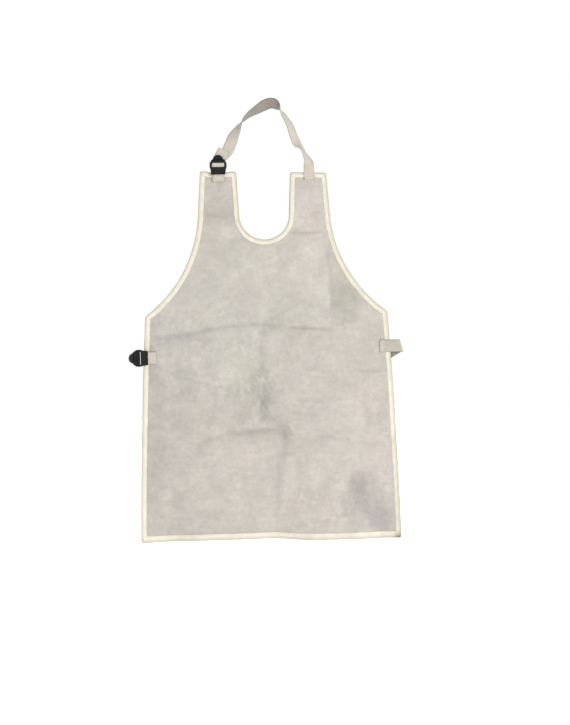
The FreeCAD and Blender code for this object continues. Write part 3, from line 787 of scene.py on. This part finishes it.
def ribbon(name, rows, width, body, replaces, seed=1.0, thickness=WEB, shade_of=None):
    """Flat webbing through rows of (middle, half-width vector, thickness direction), in the layout.

    Its edges are thinner than its middle and wander slightly, and its ends are closed. Its last argument, a
    function of a row's middle and the side (1 along the thickness, -1 against), gives from 0 to 1 how much it
    is darkened: painted shade in folds and turns, and a little darkening near the waist strap's fold.
    """
    steps = 12
    points, weave, edge_shade_and_wear, shade_darkening = [], [], [], []
    run = 0.0
    for i, (middle, across, through) in enumerate(rows):
        if i:
            run += float(np.linalg.norm(np.subtract(middle, rows[i - 1][0])))
        wobble = 1 + 0.012 * noise.noise(Vector((run / 9, seed, 0)))
        for face in (1, -1):
            for k in range(steps + 1):
                u = (2 * k / steps - 1) * face
                thick = thickness / 2 * (1 - 0.42 * abs(u) ** 8)
                crown = 0.10 * noise.noise(Vector((run / 14, u * 1.5, seed)))
                points.append(np.array(middle) + np.array(across) * u * wobble
                              + np.array(through) * (thick * face + crown))
                weave.append((u * width / 2, run, seed))
                edge_shade_and_wear.append(abs(u) ** 12)
                shade_darkening.append(shade_of(middle, face) if shade_of else 0.0)
    around = 2 * (steps + 1)
    piece = make_piece(name, points, tube_faces(len(rows), around), WEBBING, body, replaces)
    set_cloth(piece, weave, edge_shade_and_wear, shade_darkening)
    return piece, run


def turned_rows(stations, width, step=1.6):
    """Rows for a ribbon from (x, y, z, turn) stations: turn rolls it about its own length, in degrees."""
    route = smooth_route(stations, step)
    rows = []
    for i, (x, y, z, turn) in enumerate(route):
        before, after = route[max(i - 1, 0)], route[min(i + 1, len(route) - 1)]
        along = Vector((after[0] - before[0], 0, after[2] - before[2])).normalized()
        whole = Vector((after - before)[:3]).normalized()
        flat = Vector((along.z, 0, -along.x))
        across = flat * math.cos(math.radians(turn)) + Vector((0, 1, 0)) * math.sin(math.radians(turn))
        across = (across - whole * across.dot(whole)).normalized()
        through = whole.cross(across).normalized()
        rows.append((np.array((x, y, z)), np.array(across) * width / 2, np.array(through)))
    return rows


def profile_rows(path, centre, width, s_axis, across):
    """Rows for a ribbon that follows (s, n) points in a buckle's side view."""
    s_axis, across = np.array(s_axis, float), np.array(across, float)
    out = np.array((0.0, -1.0, 0.0))
    rows = []
    for i, (s, n) in enumerate(path):
        before, after = path[max(i - 1, 0)], path[min(i + 1, len(path) - 1)]
        ds, dn = after[0] - before[0], after[1] - before[1]
        length = math.hypot(ds, dn)
        through = s_axis * (dn / length) - out * (ds / length)
        rows.append((np.array(centre) + s_axis * s + out * n, across * width / 2, through))
    return rows


def rounded_path(points, radius, step=0.5):
    """A side view's corners eased with arcs of about this radius."""
    rows = [np.array(p, float) for p in points]
    made = [rows[0]]
    for a, b, c in zip(rows, rows[1:], rows[2:]):
        into, away = a - b, c - b
        reach = min(radius, np.linalg.norm(into) / 2, np.linalg.norm(away) / 2)
        p = b + into / np.linalg.norm(into) * reach
        q = b + away / np.linalg.norm(away) * reach
        made += [(1 - t) ** 2 * p + 2 * t * (1 - t) * b + t ** 2 * q for t in np.linspace(0, 1, 6)]
    made.append(rows[-1])
    return divided(made, step * 4)


def divided(points, step):
    """A line's points, with more between them where they are further apart than step."""
    rows = [np.array(p, float) for p in points]
    fine = [rows[0]]
    for a, b in zip(rows, rows[1:]):
        count = max(1, int(np.linalg.norm(b - a) / step))
        fine += [a + (b - a) * i / count for i in range(1, count + 1)]
    return [tuple(p) for p in fine]


# The neck strap's middle line, buckle to right shoulder: x, y, z and its turn
NECK_LOOP = [
    (-108, -2.25, 918, 0), (-101.5, -2.25, 928, 0), (-86, -1.8, 942, -2), (-77, -0.8, 960, -6),
    (-69.5, 4, 980, -24), (-60.5, 9, 998, -50), (-53, 12, 1011, -72), (-45, 13, 1020, -95),
    (-31, 12, 1032, -109), (-12, 9, 1043, -126), (6, 5, 1052.5, -145), (20, 2, 1059, -170),
    (31, 0, 1057.5, -172), (40, -1, 1050, -145), (43.5, -1, 1045, -100), (49, -1, 1035, -66),
    (58, -1, 1019, -60), (68.5, -2, 1000, -50), (76, -3, 975, -46), (84, -3.6, 957, -42),
    (92, -4, 949, -62), (99, -4.3, 938, -68), (104.5, -4.6, 926, -56), (109.2, -4.65, 915.5, -38),
    (111, -4.65, 907.5, -6), (111, -4.65, 900, 0), (111, -4.65, 894, 0),
]
NECK_WEB, THREADED_WEB, NECK_WEB_SEWN, NECK_WEB_GATHERED = 28.0, 29.6, 26.0, 24.8
NECK_LOOP_END = 901.5
# How far forward the strap's middle lies where it goes in behind the buckle, and comes out under the tab
IN_N, OUT_N = 2.25, 4.15


def neck_strap_loop():
    """From the window of the buckle, behind it, and over to the right shoulder."""
    near, far, over = 16.2, 30.05, 8.95
    threading = [(32.5, OUT_N), (far, OUT_N), (far, over), (near, over), (near, IN_N), (31.5, IN_N)]
    path = rounded_path(threading, 1.2)
    centre = (NECK_LOCK_X, 0, NECK_LOCK_Z)
    rows = profile_rows(path, centre, THREADED_WEB, (0, 0, 1), (-1, 0, 0))
    loop = [row for row in turned_rows(NECK_LOOP, NECK_WEB) if row[0][0] < 0 or row[0][2] > NECK_LOOP_END]
    for i, (middle, across, through) in enumerate(loop):
        gather = smooth(middle[0], 85, 106) * (1 - NECK_WEB_GATHERED / NECK_WEB)
        loop[i] = (middle, across * (1 - gather), through)
    rows = rows + eased(matched(loop), lambda middle: middle[2] > 1030 and middle[0] > 8)
    # Painted shade on the part turned over at the top, where it lies on the neck and hangs on the hook
    apex_shade = lambda middle, side: smooth(middle[2], 1004, 1020) * smooth(-middle[0], -47, -41)
    piece, run = ribbon("neck_strap_webbing", matched(rows), NECK_WEB, "neck_strap",
                        ["neck_strap", "neck_strap_threading"], 2.3, shade_of=apex_shade)
    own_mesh(piece)


def eased(rows, where, spread=5, times=3):
    """Rows with both edges evened out along the run wherever where(middle) holds."""
    middles, across = np.array([row[0] for row in rows]), np.array([row[1] for row in rows])
    edges = [middles + across, middles - across]
    window = np.ones(2 * spread + 1) / (2 * spread + 1)
    chosen = np.convolve([float(where(m)) for m in middles], window, "same")[:, None]
    for _ in range(times):
        for k, edge in enumerate(edges):
            padded = np.vstack([edge[:1]] * spread + [edge] + [edge[-1:]] * spread)
            even = np.column_stack([np.convolve(padded[:, c], window, "valid") for c in range(3)])
            edges[k] = edge * (1 - chosen) + even * chosen
    return [((left + right) / 2, (left - right) / 2, row[2]) for left, right, row in zip(*edges, rows)]


def matched(rows):
    """The same rows with their width and thickness directions kept from flipping."""
    made = [rows[0]]
    for middle, across, through in rows[1:]:
        flip = -1 if np.dot(across, made[-1][1]) < 0 else 1
        turn = -1 if np.dot(through, made[-1][2]) < 0 else 1
        made.append((middle, across * flip, through * turn))
    return made


def neck_strap_tail():
    """The free end, lying on the strap above the tab."""
    lean = math.radians(30)
    low, bend = 30.2, 33.6
    path = [(0, low)] + [(run * math.sin(lean), bend + run * math.cos(lean)) for run in (0, 24, 30)]
    stations = [(NECK_LOCK_X + x, -OUT_N, NECK_LOCK_Z + s, 0) for x, s in path]
    rows = turned_rows(stations, NECK_WEB, 1.2)
    piece, run = ribbon("neck_strap_tail", rows, NECK_WEB, None, ["neck_strap_tail"], 7.1)
    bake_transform(piece)


def neck_strap_sewn_end():
    """Sewn flat on the right shoulder, then easing forward; it bends where the strap folds."""
    path = rounded_path([(SHOULDER_PATCH_Z, SKIN_N + WEB / 2), (884, SKIN_N + WEB / 2),
                         (894, BAR_N), (903.8, BAR_N)], 4, 0.4)
    rows = profile_rows(path, (NECK_SEWN_X, 0, 0), NECK_WEB_SEWN, (0, 0, 1), (1, 0, 0))
    rows = [(middle, across * NECK_WEB_GATHERED / NECK_WEB_SEWN, through) for middle, across, through in rows]
    piece, run = ribbon("neck_strap_sewn_end", rows, NECK_WEB_SEWN, None, ["neck_strap_sewn_end"], 5.5)
    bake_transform(piece)


def bar_eye_path(low, flat):
    """Webbing up behind the fixed bar, round it and down in front to the patch."""
    back, r = SKIN_N + WEB / 2, BAR_EYE + WEB / 2
    path = [(low, back), (BAR_S, back)]
    path += [(BAR_S + r * math.sin(t), BAR_N - r * math.cos(t)) for t in np.linspace(0.2, math.pi - 0.1, 12)]
    path += [(BAR_S - 0.5, BAR_N + r), (low + flat + 1.5, LAYER_N + WEB / 2 + 0.25),
             (low + flat - 1.5, LAYER_N + WEB / 2), (low, LAYER_N + WEB / 2)]
    return divided(path, 1.2)


def buckle_loops():
    path = bar_eye_path(SHOULDER_PATCH_Z - NECK_LOCK_Z, 14)
    rows = profile_rows(path, (NECK_LOCK_X, 0, NECK_LOCK_Z), WEB_WIDTH, (0, 0, 1), (1, 0, 0))
    piece, run = ribbon("neck_buckle_loop", rows, WEB_WIDTH, "apron", ["neck_buckle_loop"], 3.2)
    path = bar_eye_path(WAIST_LOCK_X - WAIST_PATCH_X, WAIST_PATCH_X - WAIST_HINGE_X)
    rows = profile_rows(path, (WAIST_LOCK_X, 0, WAIST_LOCK_Z), WEB_WIDTH, (-1, 0, 0), (0, 0, 1))
    piece, run = ribbon("waist_buckle_loop", rows, WEB_WIDTH, None,
                        ["waist_buckle_loop", "waist_buckle_patch"], 4.4)
    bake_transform(piece)


# ---- waist strap

def fold_rows():
    """Sewn end, out past the edge, round the leaning fold and down behind the apron."""
    half = WEB_WIDTH / 2
    lean = math.radians(FOLD_LEAN)
    crease = np.array((-math.sin(lean), 0, math.cos(lean))) * (half / math.cos(lean))
    upright = np.array((0, 0, half))
    rows = []
    front_y = -(SKIN_N + WEB / 2)
    for x in np.arange(WAIST_STRAP_START, WAIST_FOLD_X, 1.6):
        share = smooth(x, WAIST_FOLD_X - 26, WAIST_FOLD_X)
        rows.append((np.array((x, front_y, WAIST_STRAP_Z)), upright * (1 - share) + crease * share,
                     np.array((0, -1.0, 0))))
    for t in np.linspace(0, math.pi, 15):
        outward = np.array((math.sin(t), -math.cos(t), 0))
        rows.append((np.array((WAIST_FOLD_X, FOLD_Y, WAIST_STRAP_Z)) + outward * FOLD_R, crease, outward))
    back = np.array((-math.cos(2 * lean), 0, -math.sin(2 * lean)))
    level = np.array((-math.sin(2 * lean), 0, math.cos(2 * lean))) * half
    corner = np.array((0, 0, -1.0)) + back
    corner /= np.linalg.norm(corner)
    corner *= -half / math.sqrt(1 - np.dot(corner, back) ** 2)
    start = np.array((WAIST_FOLD_X, RUN_Y, WAIST_STRAP_Z))
    for s in np.arange(1.6, RUN_REACH, 1.6):
        near, far = 1 - smooth(s, 0, 22), smooth(s, RUN_REACH - 26, RUN_REACH)
        across = level * (1 - near) * (1 - far) + crease * near + corner * far
        rows.append((start + back * s, across, np.array((0, 1.0, 0))))
    return rows, start + back * RUN_REACH, corner


def hank_rows(corner_place, corner):
    """Down from the diagonal fold, then to and fro in flat layers of slightly uneven length."""
    rng = random.Random(11)
    level = np.array((1.0, 0, 0)) * WEB_WIDTH / 2
    out = np.array((0, 1.0, 0))
    top = corner_place[2]
    x, y = corner_place[0], corner_place[1]
    rows = []
    for t in np.linspace(0.3, math.pi, 9):
        place = np.array((x, y + HANK_PITCH / 2 * (1 - math.cos(t)), top))
        rows.append((place, corner, out * math.cos(t) + np.array((0, 0, 1.0)) * math.sin(t) * 0.4))
    y += HANK_PITCH
    low, high = top - HANK_RUN + 4, top + 6
    z = top
    for layer in range(HANK_LAYERS):
        down = layer % 2 == 0
        target = (low if down else high) + rng.uniform(-3.5, 3.5)
        count = max(2, int(abs(target - z) / 3))
        sway = rng.uniform(-0.6, 0.6)
        for i in range(1, count + 1):
            t = i / count
            across = level
            if layer == 0:
                share = smooth(t * abs(target - z), 0, 30)
                across = corner * (1 - share) + level * share
            rows.append((np.array((x + sway * math.sin(math.pi * t), y, z + (target - z) * t)), across,
                         out * (-1 if down else 1)))
        z = target
        if layer == HANK_LAYERS - 1:
            break
        turn = -1 if down else 1
        for t in np.linspace(0.35, math.pi - 0.35, 6):
            place = np.array((x, y + HANK_PITCH / 2 * (1 - math.cos(t)), z + turn * 2.6 * math.sin(t)))
            rows.append((place, level, np.array((0, -math.cos(t), math.sin(t) * turn)) * (1 if down else -1)))
        y += HANK_PITCH
    return rows


def waist_strap():
    rows, corner_place, corner = fold_rows()

    # Painted shade on the inside face, behind the fold; the front face is darker from over the binding out to
    # the fold
    def fold_shade_darkening(middle, side):
        if side < 0:
            return smooth(middle[1], FOLD_Y - 3, FOLD_Y)
        return 0.26 * smooth(middle[0], 276, 292) * smooth(-middle[1], -FOLD_Y, 0)

    piece, run = ribbon("waist_strap_webbing", matched(rows), WEB_WIDTH, None,
                        ["waist_strap_sewn_end", "waist_strap_fold", "waist_strap"], 6.6, shade_of=fold_shade_darkening)
    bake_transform(piece)

    bundle = hank_rows(corner_place, corner)
    piece, run = ribbon("waist_strap_hank", matched(bundle), WEB_WIDTH, "waist_strap", ["waist_strap_hank"],
                        8.8, 1.3)

    x = corner_place[0]
    low_y, high_y = RUN_Y - 0.1, RUN_Y + HANK_PITCH * (HANK_LAYERS + 0.5) + 1.0
    z = corner_place[2] + WEB_WIDTH / 2 - WRAP_TOP_DROP - WRAP_HEIGHT / 2
    corners = [(x - 6, low_y), (x - WRAP_HALF, low_y), (x - WRAP_HALF, high_y), (x + WRAP_HALF, high_y),
               (x + WRAP_HALF, low_y), (x - 7, low_y)]
    path = rounded_path(corners, 3.0, 0.5)
    rows = []
    for i, (px, py) in enumerate(path):
        before, after = path[max(i - 1, 0)], path[min(i + 1, len(path) - 1)]
        dx, dy = after[0] - before[0], after[1] - before[1]
        length = math.hypot(dx, dy)
        rows.append((np.array((px, py, z + 0.6 * math.sin(px / 9))), np.array((0, 0, WRAP_HEIGHT / 2)),
                     np.array((dy / length, -dx / length, 0))))
    piece, run = ribbon("waist_strap_wrap", rows, WRAP_HEIGHT, "waist_strap", ["waist_strap_wrap"], 9.9)


# ---- the lot

def apron():
    leather_panel()
    right_shoulder, left_shoulder = SHOULDER, (-SHOULDER[0], SHOULDER[1])
    left_hem, right_hem = (-HEM_CORNER[0], 0), HEM_CORNER
    # name, corners, extra thickness where it laps, overrun past its corners, width in front
    tapes = [("left_side", left_shoulder, left_hem, 0.0, 0.0, TAPE_WIDTH),
             ("right_side", right_hem, right_shoulder, 0.0, 0.0, TAPE_WIDTH),
             ("neckline", right_shoulder, left_shoulder, 0.35, 0.3, NECKLINE_TAPE),
             ("hem", left_hem, right_hem, 0.4, 0.6, HEM_TAPE)]
    for seed, (name, start, end, extra, overrun, broad) in enumerate(tapes):
        binding(name + "_binding", start, end, 10.0 + seed, extra, overrun, broad)
        seam_line(name + "_stitching", start, end, seed, extra, broad - SEAM_MARGIN)
    neck_strap_loop()
    neck_strap_tail()
    neck_strap_sewn_end()
    buckle_loops()
    waist_strap()
    low, wide, narrow = SHOULDER_PATCH_Z + 2, 12.5, 10.5
    # name, left, right, bottom, top, crossed corner to corner, front face of the patch
    boxes = [("neck_buckle_loop", NECK_LOCK_X - wide, NECK_LOCK_X + wide, low, low + 9, False, DOUBLE_N),
             ("neck_strap", NECK_SEWN_X - narrow, NECK_SEWN_X + narrow, low, low + 11, True, LAYER_N),
             ("waist_buckle_patch", WAIST_HINGE_X + 2, WAIST_PATCH_X - 2, WAIST_LOCK_Z - wide,
              WAIST_LOCK_Z + wide, False, DOUBLE_N),
             ("waist_strap", WAIST_STRAP_START + 2, WAIST_STRAP_START + 22, WAIST_STRAP_Z - wide,
              WAIST_STRAP_Z + wide, True, LAYER_N)]
    for name, x0, x1, z0, z1, crossed, front in boxes:
        sewn_lines(name + "_stitching", box_lines(x0, x1, z0, z1, crossed), -front - 0.1)
    for name in ("neck_buckle", "waist_buckle"):
        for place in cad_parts[name].material_slots:
            place.material = PLASTIC


def stage():
    """A wide pale floor well below the hanging apron."""
    material, tree, shader = new_material("pale_floor", (0.80, 0.80, 0.80), 0.9, 0.1)
    shader.inputs["Emission Color"].default_value = (1, 1, 1, 1)
    shader.inputs["Emission Strength"].default_value = FLOOR_GLOW
    half, level = 40.0, HEM_Z - 1.35
    mesh = bpy.data.meshes.new("floor")
    mesh.from_pydata([(-half, -half, level), (half, -half, level), (half, half, level), (-half, half, level)],
                     [], [(0, 1, 2, 3)])
    mesh.materials.append(material)
    floor = bpy.data.objects.new("floor", mesh)
    bpy.context.collection.objects.link(floor)


def lights():
    """White surroundings that light it softly, and two broad lamps: front right and rear left."""
    scene = bpy.context.scene
    scene.view_settings.view_transform = "Standard"
    world = bpy.data.worlds.new("studio")
    scene.world = world
    world.use_nodes = True
    tree = world.node_tree
    around = tree.nodes["Background"]
    around.inputs["Strength"].default_value = AMBIENT
    around.inputs["Color"].default_value = (1, 1, 1, 1)
    backdrop = node(tree, "ShaderNodeBackground", Strength=1.0, Color=(1, 1, 1))
    mix = tree.nodes.new("ShaderNodeMixShader")
    seen = tree.nodes.new("ShaderNodeLightPath")
    tree.links.new(seen.outputs["Is Camera Ray"], mix.inputs[0])
    tree.links.new(around.outputs[0], mix.inputs[1])
    tree.links.new(backdrop.outputs[0], mix.inputs[2])
    tree.links.new(mix.outputs[0], tree.nodes["World Output"].inputs["Surface"])
    for name, turn, height, power, spread in LAMPS:
        lamp = bpy.data.lights.new(name, "SUN")
        lamp.energy, lamp.angle = power, math.radians(spread)
        holder = bpy.data.objects.new(name, lamp)
        bpy.context.collection.objects.link(holder)
        level = math.cos(math.radians(height))
        towards = Vector((math.sin(math.radians(turn)) * level, -math.cos(math.radians(turn)) * level,
                          math.sin(math.radians(height))))
        holder.rotation_euler = towards.to_track_quat("Z", "Y").to_euler()


AMBIENT, FLOOR_GLOW = 0.5, 0.62
# name, degrees round from the front towards the right, degrees up, strength, spread
LAMPS = [("key", 38, 12, 2.1, 22), ("rear", 205, 30, 1.6, 50)]


def camera():
    """Level with the apron's middle, square to it, rolled as the apron hangs."""
    lens = bpy.data.cameras.new("camera")
    eye = bpy.data.objects.new("camera", lens)
    bpy.context.collection.objects.link(eye)
    distance, seen_height, roll = 3.2, 1.754, math.radians(1.32)
    eye.location = at(42.6, 0, 428.7) + Vector((0, -distance, 0))
    eye.rotation_euler = (math.pi / 2, roll, 0)
    lens.sensor_width = 36.0
    lens.lens = lens.sensor_width * distance / seen_height
    bpy.context.scene.camera = eye


apron()
stage()
lights()
camera()
